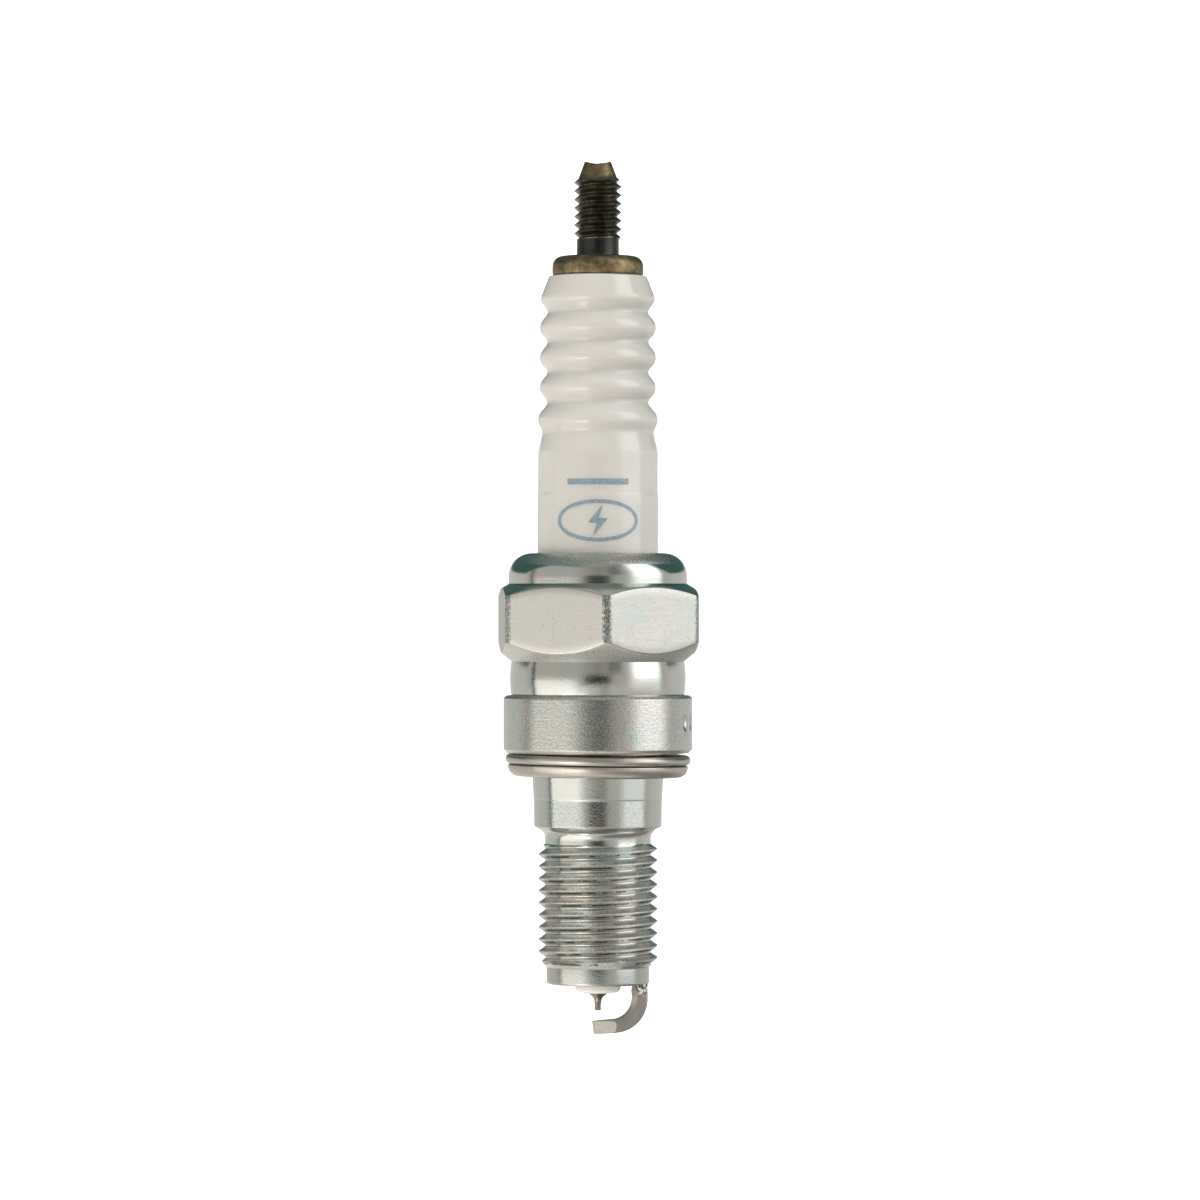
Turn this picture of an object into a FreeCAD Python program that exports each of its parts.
import FreeCAD, Part
import math
import os

import Sketcher

# A 10 mm motorcycle spark plug: shell, insulator and terminal stud on one vertical axis, the fired
# parts inside them, the two electrodes below and a loose folded gasket round the neck.
# The origin is the centre of the gasket's sealing face and +Z points towards the terminal.
# Heights are measured from the seat, the flat underside of the shell's collar, and are positive
# towards the terminal. The gasket alone is drawn from its own underside. Lengths are millimetres.

DIMENSIONS = {
    # gasket: one strip folded into two rolls
    "gasket_height": 1.85,
    "gasket_play": 0.1,
    "gasket_fold_height": 0.98,
    "gasket_slit": 0.05,
    "gasket_strip": 0.36,
    "gasket_upper_radius": 7.62,
    "gasket_lower_radius": 7.42,
    "gasket_slit_radius": 6.1,
    "gasket_lip_radius": 5.26,
    "gasket_inner_radius": 5.62,
    "gasket_upper_rounding": 0.42,
    "gasket_lower_rounding": 0.72,
    "gasket_edge": 0.2,
    "gasket_inner_rounding": 0.3,
    # shell: crimped lip, hexagon, waist and collar
    "lip_radius": 5.05,
    "lip_height": 16.42,
    "crimp_corner": 16.72,
    "lip_underside": 15.75,
    "lip_rounding": 0.5,
    "crimp_radius": 7.36,
    "crimp_rounding": 1.9,
    "hex_half_flats": 7.95,
    "hex_corner_radius": 9.03,
    "hex_turn": 4.8,
    "hex_cone_top": 13.95,
    "hex_top": 12.98,
    "hex_bottom": 9.09,
    "waist_radius": 7.13,
    "waist_bulge_radius": 7.35,
    "waist_rounding": 8.5,
    "waist_top": 7.55,
    "waist_middle": 6.16,
    "collar_top": 4.74,
    "collar_radius": 7.785,
    "collar_top_chamfer": 0.22,
    "collar_bottom_chamfer": 0.32,
    # shell: gasket groove, barrel and neck
    "groove_radius": 5.15,
    "groove_bottom": -1.6,
    "barrel_radius": 5.4,
    "barrel_top": -1.85,
    "barrel_step": -3.75,
    "pilot_radius": 5.3,
    "pilot_top": -3.8,
    "pilot_bottom": -6.03,
    "shoulder_radius": 4.95,
    "shoulder_height": -6.19,
    "neck_radius": 4.365,
    "neck_corner": -6.52,
    "neck_rounding": 0.85,
    # shell: M10 x 1 thread and nose
    "thread_top": -7.45,
    "thread_full_top": -7.85,
    "thread_full_bottom": -16.95,
    "thread_bottom": -17.6,
    "thread_major_radius": 4.9,
    "thread_root_radius": 4.37,
    "thread_pitch": 1.0,
    "thread_root_flat": 0.24,
    "thread_groove_start": -18.34,
    "thread_groove_run": 11.1,
    "nose_radius": 4.24,
    "nose_rounding": 0.2,
    "nose_height": -19.0,
    # shell: the bore, from the nose up
    "nose_bore": 3.0,
    "nose_bore_top": -10.35,
    "ledge_bore": 2.78,
    "ledge_foot": -9.95,
    "ledge_bottom": -8.95,
    "ledge_top": -8.35,
    "stem_bore": 3.725,
    "stem_bore_top": 0.33,
    "body_bore": 6.0,
    "body_bore_bottom": 2.6,
    # insulator: head and ribs
    "insulator_top": 39.3,
    "insulator_rim_radius": 4.02,
    "insulator_rim_rounding": 0.25,
    "head_crest_radius": 4.74,
    "head_crest_height": 37.45,
    "head_crest_rounding": 0.7,
    "rib_crest_radius": 4.97,
    "rib_valley_radius": 3.97,
    "rib_rounding": 0.52,
    "rib_top": 34.98,
    "rib_pitch": 2.475,
    "rib_rise": 1.33,
    "foot_valley_radius": 4.57,
    "foot_valley_height": 26.45,
    "foot_rounding": 0.8,
    "flare_radius": 4.94,
    "flare_height": 24.8,
    "trunk_step_top": 21.45,
    "trunk_step_bottom": 21.15,
    "trunk_radius": 4.985,
    # insulator: what the shell holds
    "trunk_foot_radius": 4.93,
    "belt_top": 9.4,
    "belt_radius": 5.95,
    "belt_rounding": 0.35,
    "belt_bottom": 3.0,
    "stem_radius": 3.65,
    "stem_top": 0.7,
    "stem_bottom": -8.0,
    "leg_radius": 2.5,
    "leg_top": -8.74,
    "leg_end_radius": 1.85,
    "leg_end": -19.73,
    "leg_end_rounding": 0.28,
    "terminal_bore": 1.55,
    "electrode_bore": 0.95,
    "bore_step_top": -1.0,
    "bore_step_bottom": -1.5,
    # terminal stud, M4 x 0.7
    "stud_top": 48.71,
    "stud_dish_depth": 0.2,
    "stud_dish_radius": 0.96,
    "stud_top_radius": 1.09,
    "stud_cone_radius": 1.56,
    "stud_cone_bottom": 47.42,
    "stud_thread_top": 47.05,
    "stud_thread_bottom": 42.52,
    "stud_major_radius": 1.96,
    "stud_root_radius": 1.57,
    "stud_pitch": 0.7,
    "stud_root_flat": 0.15,
    "stud_groove_start": 42.255,
    "stud_groove_run": 5.95,
    "stud_neck_radius": 1.74,
    "stud_neck_top": 42.3,
    "stud_neck_rounding": 0.15,
    "flange_radius": 3.75,
    "flange_top": 40.92,
    "flange_top_rounding": 0.85,
    "flange_bottom_rounding": 0.22,
    "shaft_radius": 1.45,
    "shaft_end_radius": 1.15,
    "shaft_taper_height": 14.4,
    "shaft_end": 14.0,
    # packing in the body, glass seals and resistor in the insulator
    "ring_radius": 5.48,
    "ring_section": 0.4,
    "ring_upper_height": 15.35,
    "ring_lower_height": 9.8,
    "talc_top": 14.94,
    "talc_bottom": 10.21,
    "seat_packing_thickness": 0.38,
    "fit_gap": 0.02,
    "resistor_top": 11.5,
    "resistor_bottom": 4.5,
    # centre electrode
    "electrode_head_top": 0.9,
    "electrode_head_radius": 1.5,
    "electrode_radius": 0.9,
    "electrode_cone_height": -19.74,
    "electrode_end_corner": -20.2,
    "electrode_end_radius": 0.3,
    "electrode_end_rounding": 0.5,
    "electrode_end": -20.45,
    "core_radius": 0.5,
    "core_bottom": -18.3,
    "tip_radius": 0.25,
    "tip_root": -20.1,
    "tip_end": -21.2,
    "tip_edge": 0.04,
    "tip_weld_radius": 0.285,
    "tip_weld_middle": -20.55,
    "tip_weld_end": -20.64,
    # ground electrode: a strap bent under the centre electrode
    "strap_turn": 10.0,
    "strap_half_thickness": 0.525,
    "strap_half_width": 1.1,
    "strap_edge": 0.25,
    "strap_root_radius": 3.505,
    "strap_root": -19.35,
    "strap_corner_radius": 3.48,
    "strap_corner": -22.36,
    "strap_bend_radius": 2.27,
    "strap_tip_radius": -0.6,
    "strap_tip": -22.634,
    "strap_cut_top_radius": -0.42,
    "strap_cut_bottom_radius": -0.25,
    "strap_cut_top": -21.9,
    "strap_cut_bottom": -23.3,
    "strap_cut_reach": -1.5,
    "taper_start_radius": 1.34,
    "taper_end_radius": -0.7,
    "taper_end_half_width": 0.48,
    "taper_reach": 1.6,
    "weld_half_thickness": 0.56,
    "weld_half_width": 1.15,
    "weld_rounding": 0.25,
}
RIB_COUNT = 4
HEX_SIDES = 6
FLANK_ANGLE = 30
GROOVE_OVERCUT = 0.2
HEX_CUT_DEPTH = 3
NODE_COUNT = 17


def new_sheet(doc):
    """A spreadsheet with one row per driving dimension."""
    sheet = doc.addObject("Spreadsheet::Sheet", "dims")
    for row, (name, size) in enumerate(DIMENSIONS.items(), start=1):
        sheet.set(f"A{row}", name)
        sheet.set(f"B{row}", str(size))
        sheet.setAlias(f"B{row}", name)
    doc.recompute()


def value(amount):
    """The number that an amount stands for: names and numbers joined by + and - signs."""
    total = 0.0
    sign = 1
    for word in amount.split():
        if word in ("+", "-"):
            sign = 1 if word == "+" else -1
        else:
            total += sign * (DIMENSIONS[word] if word in DIMENSIONS else float(word))
            sign = 1
    return total


def bound(amount):
    """The same amount as a formula on the spreadsheet."""
    words = (f"dims.{word}" if word in DIMENSIONS else word for word in amount.split())
    return " ".join(words)


def origin_feature(body, role):
    """One of the planes or axes of a body's own origin."""
    return next(item for item in body.Origin.OriginFeatures if item.Role == role)


def new_body(doc, label, height="gasket_height + gasket_play"):
    """An empty body whose datum lies at a height above the origin, by default the seat's."""
    body = doc.addObject("PartDesign::Body", label)
    body.setExpression("Placement.Base.z", bound(height))
    return body


def new_sketch(body, name, role):
    """An empty sketch on one of the body's origin planes."""
    sketch = body.newObject("Sketcher::SketchObject", name)
    sketch.AttachmentSupport = [(origin_feature(body, role), "")]
    sketch.MapMode = "FlatFace"
    return sketch


def bind(sketch, kind, elements, number, formula):
    """A dimension of the sketch that starts at a number and follows a formula on the sheet."""
    index = sketch.addConstraint(Sketcher.Constraint(kind, *elements, number))
    sketch.setExpression(f"Constraints[{index}]", formula)


def constrain(sketch, kind, elements, amount):
    """A dimension of the sketch that is an amount."""
    bind(sketch, kind, elements, value(amount), bound(amount))


def place(sketch, point, across, up):
    """Puts a sketch point at its distance across from the axis and its height."""
    if across == "0":
        sketch.addConstraint(Sketcher.Constraint("PointOnObject", *point, -2))
    else:
        constrain(sketch, "DistanceX", (-1, 1, *point), across)
    if up == "0":
        sketch.addConstraint(Sketcher.Constraint("PointOnObject", *point, -1))
    else:
        constrain(sketch, "DistanceY", (-1, 1, *point), up)


def round_corner(sketch, points, i, radius):
    """Adds the arc at corner i and gives it with the points where it meets the two sides."""
    corner = points[i]
    back = (points[i - 1] - corner).normalize()
    ahead = (points[(i + 1) % len(points)] - corner).normalize()
    half_angle = back.getAngle(ahead) / 2
    reach = radius / math.tan(half_angle)
    inset = radius / math.sin(half_angle) - radius
    arrival = corner + back * reach
    departure = corner + ahead * reach
    middle = corner + (back + ahead).normalize() * inset
    arc = sketch.addGeometry(Part.Arc(arrival, middle, departure), False)
    return arc, arrival, departure


def draw(sketch, corners, closed=True):
    """Straight sides through corners (across, up), each rounded if it has a third amount."""
    count = len(corners)
    points = [FreeCAD.Vector(value(corner[0]), value(corner[1]), 0) for corner in corners]
    arcs = {}
    arrivals = list(points)
    departures = list(points)
    for i, corner in enumerate(corners):
        if len(corner) == 3:
            arcs[i], arrivals[i], departures[i] = round_corner(sketch, points, i, value(corner[2]))
    sides = {}
    for i in range(count if closed else count - 1):
        line = Part.LineSegment(departures[i], arrivals[(i + 1) % count])
        sides[i] = sketch.addGeometry(line, False)
    for i, (across, up, *rounding) in enumerate(corners):
        before = sides.get((i - 1) % count)
        after = sides.get(i)
        if i in arcs:
            arc = arcs[i]
            forward = sketch.getPoint(arc, 1).distanceToPoint(arrivals[i]) < 1e-6
            first, last = (1, 2) if forward else (2, 1)
            sketch.addConstraint(Sketcher.Constraint("Tangent", before, 2, arc, first))
            sketch.addConstraint(Sketcher.Constraint("Tangent", arc, last, after, 1))
            constrain(sketch, "Radius", (arc,), rounding[0])
            apex = sketch.addGeometry(Part.Point(points[i]), True)
            for side in (before, after):
                sketch.addConstraint(Sketcher.Constraint("PointOnObject", apex, 1, side))
            place(sketch, (apex, 1), across, up)
        elif after is None:
            place(sketch, (before, 2), across, up)
        else:
            if before is not None:
                sketch.addConstraint(Sketcher.Constraint("Coincident", before, 2, after, 1))
            place(sketch, (after, 1), across, up)


def turn(body, corners):
    """Revolves a closed half-section about the plug's axis."""
    sketch = new_sketch(body, f"{body.Name}_section", "XZ_Plane")
    draw(sketch, corners)
    solid = body.newObject("PartDesign::Revolution", f"{body.Name}_turned")
    solid.Profile = sketch
    solid.ReferenceAxis = (sketch, ["V_Axis"])
    solid.Angle = 360
    body.Document.recompute()


def cut_thread(body, role, prefix):
    """Cuts a right-hand 60 degree thread with one helical groove, upwards from its start."""
    root = f"{prefix}_root_radius"
    outer = f"{prefix}_major_radius + {GROOVE_OVERCUT}"
    start = f"{prefix}_groove_start"
    flat = f"{prefix}_root_flat"
    narrow = value(flat) / 2
    wide = narrow + (value(outer) - value(root)) * math.tan(math.radians(FLANK_ANGLE))
    half_flat = f"dims.{flat} / 2"
    flank = f"({bound(outer)} - {bound(root)}) * tan({FLANK_ANGLE} deg)"
    corners = [
        (root, -narrow, f"- {half_flat}"),
        (outer, -wide, f"- {half_flat} - {flank}"),
        (outer, wide, f"+ {half_flat} + {flank}"),
        (root, narrow, f"+ {half_flat}"),
    ]
    sketch = new_sketch(body, f"{prefix}_groove", role)
    points = [FreeCAD.Vector(value(across), value(start) + rise, 0) for across, rise, _ in corners]
    for i, point in enumerate(points):
        sketch.addGeometry(Part.LineSegment(point, points[(i + 1) % len(points)]), False)
    for i, (across, rise, formula) in enumerate(corners):
        following = (i + 1) % len(corners)
        sketch.addConstraint(Sketcher.Constraint("Coincident", i, 2, following, 1))
        constrain(sketch, "DistanceX", (-1, 1, i, 1), across)
        height = value(start) + rise
        bind(sketch, "DistanceY", (-1, 1, i, 1), height, f"{bound(start)} {formula}")
    body.Document.recompute()

    groove = body.newObject("PartDesign::SubtractiveHelix", f"{prefix}_thread")
    groove.Profile = sketch
    groove.ReferenceAxis = (sketch, ["V_Axis"])
    groove.Mode = "pitch-height-angle"
    groove.setExpression("Pitch", f"dims.{prefix}_pitch")
    groove.setExpression("Height", f"dims.{prefix}_groove_run")
    groove.LeftHanded = False
    body.Document.recompute()


def pad(body, sketch, name, length):
    """Pads a sketch upwards or outwards from its plane."""
    solid = body.newObject("PartDesign::Pad", name)
    solid.Profile = sketch
    solid.setExpression("Length", bound(length))
    body.Document.recompute()


def cut_through(body, sketch, name, both_ways):
    """Pockets a sketch right through the body, to one side of its plane or to both."""
    pocket = body.newObject("PartDesign::Pocket", name)
    pocket.Profile = sketch
    pocket.Type = "ThroughAll"
    pocket.Midplane = both_ways
    body.Document.recompute()


def make_gasket(doc):
    """A strip folded outwards twice, so that two rolls show; its lip rides in the shell's groove."""
    body = new_body(doc, "gasket", height="0")
    slit_top = "gasket_fold_height + gasket_slit"
    upper_inside = "gasket_upper_radius - gasket_strip"
    lower_inside = "gasket_lower_radius - gasket_strip"
    turn(body, [
        ("gasket_lip_radius", "gasket_height"),
        ("gasket_upper_radius", "gasket_height", "gasket_upper_rounding"),
        ("gasket_upper_radius", slit_top, "gasket_upper_rounding - gasket_slit"),
        ("gasket_slit_radius", slit_top),
        ("gasket_slit_radius", "gasket_fold_height"),
        ("gasket_lower_radius", "gasket_fold_height", "gasket_edge"),
        ("gasket_lower_radius", "0", "gasket_lower_rounding"),
        ("gasket_inner_radius", "0"),
        ("gasket_inner_radius", "gasket_strip"),
        (lower_inside, "gasket_strip"),
        (lower_inside, "gasket_fold_height - gasket_strip"),
        ("gasket_inner_radius", "gasket_fold_height - gasket_strip", "gasket_inner_rounding"),
        ("gasket_inner_radius", f"{slit_top} + gasket_strip", "gasket_inner_rounding"),
        (upper_inside, f"{slit_top} + gasket_strip"),
        (upper_inside, "gasket_height - gasket_strip"),
        ("gasket_lip_radius", "gasket_height - gasket_strip"),
    ])
    return body


def make_shell(doc):
    """Hexagon, collar, barrel and thread in one steel piece, bored through from the top."""
    body = new_body(doc, "shell")
    turn(body, [
        ("lip_radius", "lip_height"),
        ("crimp_radius", "crimp_corner", "crimp_rounding"),
        ("crimp_radius", "hex_cone_top"),
        ("hex_corner_radius", "hex_top"),
        ("hex_corner_radius", "hex_bottom"),
        ("waist_radius", "waist_top"),
        ("waist_bulge_radius", "waist_middle", "waist_rounding"),
        ("waist_radius", "collar_top"),
        ("collar_radius - collar_top_chamfer", "collar_top"),
        ("collar_radius", "collar_top - collar_top_chamfer"),
        ("collar_radius", "collar_bottom_chamfer"),
        ("collar_radius - collar_bottom_chamfer", "0"),
        ("groove_radius", "0"),
        ("groove_radius", "groove_bottom"),
        ("barrel_radius", "barrel_top"),
        ("barrel_radius", "barrel_step"),
        ("pilot_radius", "pilot_top"),
        ("pilot_radius", "pilot_bottom"),
        ("shoulder_radius", "shoulder_height"),
        ("neck_radius", "neck_corner", "neck_rounding"),
        ("neck_radius", "thread_top"),
        ("thread_major_radius", "thread_full_top"),
        ("thread_major_radius", "thread_full_bottom"),
        ("nose_radius", "thread_bottom"),
        ("nose_radius", "nose_height", "nose_rounding"),
        ("nose_bore", "nose_height"),
        ("nose_bore", "nose_bore_top"),
        ("ledge_bore", "ledge_foot"),
        ("ledge_bore", "ledge_bottom"),
        ("stem_bore", "ledge_top"),
        ("stem_bore", "stem_bore_top"),
        ("body_bore", "body_bore_bottom"),
        ("body_bore", "lip_underside", "lip_rounding"),
        ("lip_radius", "lip_underside"),
    ])

    flat = new_sketch(body, "hex_flat_side", "XY_Plane")
    flat.setExpression("AttachmentOffset.Rotation.Angle", "dims.hex_turn * 1 deg")
    outside = f"hex_half_flats + {HEX_CUT_DEPTH}"
    draw(flat, [
        ("hex_half_flats", "0 - hex_corner_radius"),
        (outside, "0 - hex_corner_radius"),
        (outside, "hex_corner_radius"),
        ("hex_half_flats", "hex_corner_radius"),
    ])
    doc.recompute()
    first_flat = body.newObject("PartDesign::Pocket", "hex_flat")
    first_flat.Profile = flat
    first_flat.Reversed = True
    first_flat.setExpression("Length", bound("hex_cone_top"))
    doc.recompute()
    flats = body.newObject("PartDesign::PolarPattern", "hex_flats")
    flats.Originals = [first_flat]
    flats.Axis = (origin_feature(body, "Z_Axis"), [""])
    flats.Angle = 360
    flats.Occurrences = HEX_SIDES
    body.Tip = flats
    doc.recompute()
    cut_thread(body, "XZ_Plane", "thread")
    return body


def rib_corners():
    """The head of the insulator from its top crest down through the ribs to the trunk."""
    corners = [("head_crest_radius", "head_crest_height", "head_crest_rounding")]
    for rib in range(RIB_COUNT):
        crest = "rib_top" + " - rib_pitch" * rib
        corners.append(("rib_valley_radius", f"{crest} + rib_rise", "rib_rounding"))
        corners.append(("rib_crest_radius", crest, "rib_rounding"))
    corners.append(("foot_valley_radius", "foot_valley_height", "foot_rounding"))
    corners.append(("flare_radius", "flare_height", "foot_rounding"))
    return corners


def make_insulator(doc):
    """Ribbed ceramic, held in the shell by its belt, with a stepped bore for what carries current."""
    body = new_body(doc, "insulator")
    turn(body, [
        ("terminal_bore", "insulator_top"),
        ("insulator_rim_radius", "insulator_top", "insulator_rim_rounding"),
        *rib_corners(),
        ("flare_radius", "trunk_step_top"),
        ("trunk_radius", "trunk_step_bottom"),
        ("trunk_radius", "lip_height"),
        ("trunk_foot_radius", "belt_top"),
        ("belt_radius", "belt_top", "belt_rounding"),
        ("belt_radius", "belt_bottom"),
        ("stem_radius", "stem_top"),
        ("stem_radius", "stem_bottom"),
        ("leg_radius", "leg_top"),
        ("leg_end_radius", "leg_end", "leg_end_rounding"),
        ("electrode_bore", "leg_end"),
        ("electrode_bore", "bore_step_bottom"),
        ("terminal_bore", "bore_step_top"),
    ])
    return body


def make_terminal_stud(doc):
    """Threaded terminal, flange and shaft in one piece, sealed into the insulator's bore."""
    body = new_body(doc, "terminal_stud")
    turn(body, [
        ("0", "stud_top - stud_dish_depth"),
        ("stud_dish_radius", "stud_top"),
        ("stud_top_radius", "stud_top"),
        ("stud_cone_radius", "stud_cone_bottom"),
        ("stud_major_radius", "stud_thread_top"),
        ("stud_major_radius", "stud_thread_bottom"),
        ("stud_neck_radius", "stud_neck_top"),
        ("stud_neck_radius", "flange_top", "stud_neck_rounding"),
        ("flange_radius", "flange_top", "flange_top_rounding"),
        ("flange_radius", "insulator_top", "flange_bottom_rounding"),
        ("shaft_radius", "insulator_top"),
        ("shaft_radius", "shaft_taper_height"),
        ("shaft_end_radius", "shaft_end"),
        ("0", "shaft_end"),
    ])
    cut_thread(body, "YZ_Plane", "stud")
    return body


def make_filling(doc, label, top, bottom):
    """A plug of fired glass or resistor mass that fills the insulator's upper bore."""
    body = new_body(doc, label)
    radius = "terminal_bore - fit_gap"
    turn(body, [("0", top), (radius, top), (radius, bottom), ("0", bottom)])
    return body


def make_talc_filling(doc):
    """Pressed powder between the two packing rings."""
    body = new_body(doc, "talc_filling")
    inner = "trunk_radius + fit_gap"
    outer = "body_bore - fit_gap"
    turn(body, [
        (inner, "talc_top"),
        (outer, "talc_top"),
        (outer, "talc_bottom"),
        (inner, "talc_bottom"),
    ])
    return body


def make_seat_packing(doc):
    """A thin coned washer on the ledge inside the shell."""
    body = new_body(doc, "seat_packing")
    outer = "stem_bore - fit_gap"
    turn(body, [
        (outer, "ledge_top + seat_packing_thickness"),
        (outer, "ledge_top"),
        ("ledge_bore", "ledge_bottom"),
        ("ledge_bore", "ledge_bottom + seat_packing_thickness"),
    ])
    return body


def make_packing_ring(doc, label, height):
    """A ring of round wire that holds the talc in."""
    ring = doc.addObject("Part::Torus", label)
    ring.setExpression("Radius1", bound("ring_radius"))
    ring.setExpression("Radius2", bound("ring_section"))
    ring.setExpression("Placement.Base.z", bound(f"gasket_height + gasket_play + {height}"))
    return ring


def make_centre_electrode(doc):
    """Nickel sheath with a head on the bore's step; it narrows below the insulator to its tip."""
    body = new_body(doc, "centre_electrode")
    turn(body, [
        ("core_radius", "electrode_head_top"),
        ("electrode_head_radius", "electrode_head_top"),
        ("electrode_head_radius", "bore_step_top"),
        ("electrode_radius", "bore_step_bottom"),
        ("electrode_radius", "electrode_cone_height"),
        ("electrode_end_radius", "electrode_end_corner", "electrode_end_rounding"),
        ("electrode_end_radius", "electrode_end"),
        ("tip_radius", "electrode_end"),
        ("tip_radius", "tip_root"),
        ("0", "tip_root"),
        ("0", "core_bottom"),
        ("core_radius", "core_bottom"),
    ])
    return body


def make_centre_electrode_core(doc):
    """The copper core that carries heat up the sheath."""
    body = new_body(doc, "centre_electrode_core")
    turn(body, [
        ("0", "electrode_head_top"),
        ("core_radius", "electrode_head_top"),
        ("core_radius", "core_bottom"),
        ("0", "core_bottom"),
    ])
    return body


def make_iridium_tip(doc):
    """The fine wire at the spark gap."""
    body = new_body(doc, "iridium_tip")
    turn(body, [
        ("0", "tip_root"),
        ("tip_radius", "tip_root"),
        ("tip_radius", "tip_end", "tip_edge"),
        ("0", "tip_end"),
    ])
    return body


def make_tip_weld(doc):
    """The laser weld's bead round the fine wire."""
    body = new_body(doc, "tip_weld")
    turn(body, [
        ("tip_radius", "electrode_end"),
        ("tip_weld_radius", "electrode_end"),
        ("tip_weld_radius", "tip_weld_middle"),
        ("tip_radius", "tip_weld_end"),
    ])
    return body


def turn_to_strap(body):
    """Turns a body's own X axis towards the ground electrode's root."""
    body.Placement.Rotation = FreeCAD.Rotation(FreeCAD.Vector(0, 0, 1), 1)
    body.setExpression("Placement.Rotation.Angle", "dims.strap_turn * 1 deg")


def make_ground_electrode(doc):
    """A strap with rounded edges, bent under the tip, its end cut to a narrower trapezium."""
    body = new_body(doc, "ground_electrode")
    turn_to_strap(body)
    section = new_sketch(body, "strap_section", "XY_Plane")
    section.setExpression("AttachmentOffset.Base.z", bound("strap_root"))
    near = "strap_root_radius - strap_half_thickness"
    far = "strap_root_radius + strap_half_thickness"
    draw(section, [
        (near, "0 - strap_half_width", "strap_edge"),
        (far, "0 - strap_half_width", "strap_edge"),
        (far, "strap_half_width", "strap_edge"),
        (near, "strap_half_width", "strap_edge"),
    ])
    route = new_sketch(body, "strap_route", "XZ_Plane")
    draw(route, [
        ("strap_root_radius", "strap_root"),
        ("strap_corner_radius", "strap_corner", "strap_bend_radius"),
        ("strap_tip_radius", "strap_tip"),
    ], closed=False)
    doc.recompute()
    strap = body.newObject("PartDesign::AdditivePipe", "strap_bent")
    strap.Profile = section
    strap.Spine = route
    doc.recompute()

    end = new_sketch(body, "strap_end", "XZ_Plane")
    draw(end, [
        ("strap_cut_top_radius", "strap_cut_top"),
        ("strap_cut_bottom_radius", "strap_cut_bottom"),
        ("strap_cut_reach", "strap_cut_bottom"),
        ("strap_cut_reach", "strap_cut_top"),
    ])
    cut_through(body, end, "strap_end_cut", both_ways=True)
    for name, sign in (("front", "0 - "), ("back", "")):
        side = new_sketch(body, f"strap_{name}", "XY_Plane")
        draw(side, [
            ("taper_start_radius", f"{sign}strap_half_width"),
            ("taper_end_radius", f"{sign}taper_end_half_width"),
            ("taper_end_radius", f"{sign}taper_reach"),
            ("taper_start_radius", f"{sign}taper_reach"),
        ])
        cut_through(body, side, f"strap_{name}_taper", both_ways=False)
    return body


def make_ground_electrode_weld(doc):
    """The upset metal that joins the strap to the nose."""
    body = new_body(doc, "ground_electrode_weld")
    turn_to_strap(body)
    section = new_sketch(body, "weld_section", "XY_Plane")
    section.setExpression("AttachmentOffset.Base.z", bound("strap_root"))
    near = "strap_root_radius - weld_half_thickness"
    far = "strap_root_radius + weld_half_thickness"
    draw(section, [
        (near, "0 - weld_half_width", "weld_rounding"),
        (far, "0 - weld_half_width", "weld_rounding"),
        (far, "weld_half_width", "weld_rounding"),
        (near, "weld_half_width", "weld_rounding"),
    ])
    doc.recompute()
    pad(body, section, "weld_pad", "nose_height - strap_root")
    return body


def check(doc, nodes):
    """Stops with a message if any object failed or any node isn't one valid solid."""
    for item in doc.Objects:
        if "Invalid" in item.State or "Error" in item.State:
            raise RuntimeError(f"{item.Label} failed to compute")
    if len(nodes) != NODE_COUNT:
        raise RuntimeError(f"there are {len(nodes)} nodes, not {NODE_COUNT}")
    for node in nodes:
        shape = node.Shape
        if shape.isNull() or not shape.isValid() or len(shape.Solids) != 1:
            raise RuntimeError(f"{node.Label} isn't one valid solid")


def main():
    doc = FreeCAD.newDocument("spark_plug")
    new_sheet(doc)
    nodes = [
        make_gasket(doc),
        make_shell(doc),
        make_insulator(doc),
        make_terminal_stud(doc),
        make_packing_ring(doc, "upper_packing_ring", "ring_upper_height"),
        make_packing_ring(doc, "lower_packing_ring", "ring_lower_height"),
        make_talc_filling(doc),
        make_seat_packing(doc),
        make_filling(doc, "upper_glass_seal", "shaft_end", "resistor_top"),
        make_filling(doc, "resistor", "resistor_top", "resistor_bottom"),
        make_filling(doc, "lower_glass_seal", "resistor_bottom", "electrode_head_top"),
        make_centre_electrode(doc),
        make_centre_electrode_core(doc),
        make_iridium_tip(doc),
        make_tip_weld(doc),
        make_ground_electrode(doc),
        make_ground_electrode_weld(doc),
    ]
    doc.recompute()
    check(doc, nodes)
    os.makedirs("parts", exist_ok=True)
    for node in nodes:
        node.Shape.exportStep(f"parts/{node.Label}.step")
        box = node.Shape.BoundBox
        print(f"{node.Label}: {node.Shape.Volume:.2f} mm3, z {box.ZMin:.2f} to {box.ZMax:.2f}")


main()
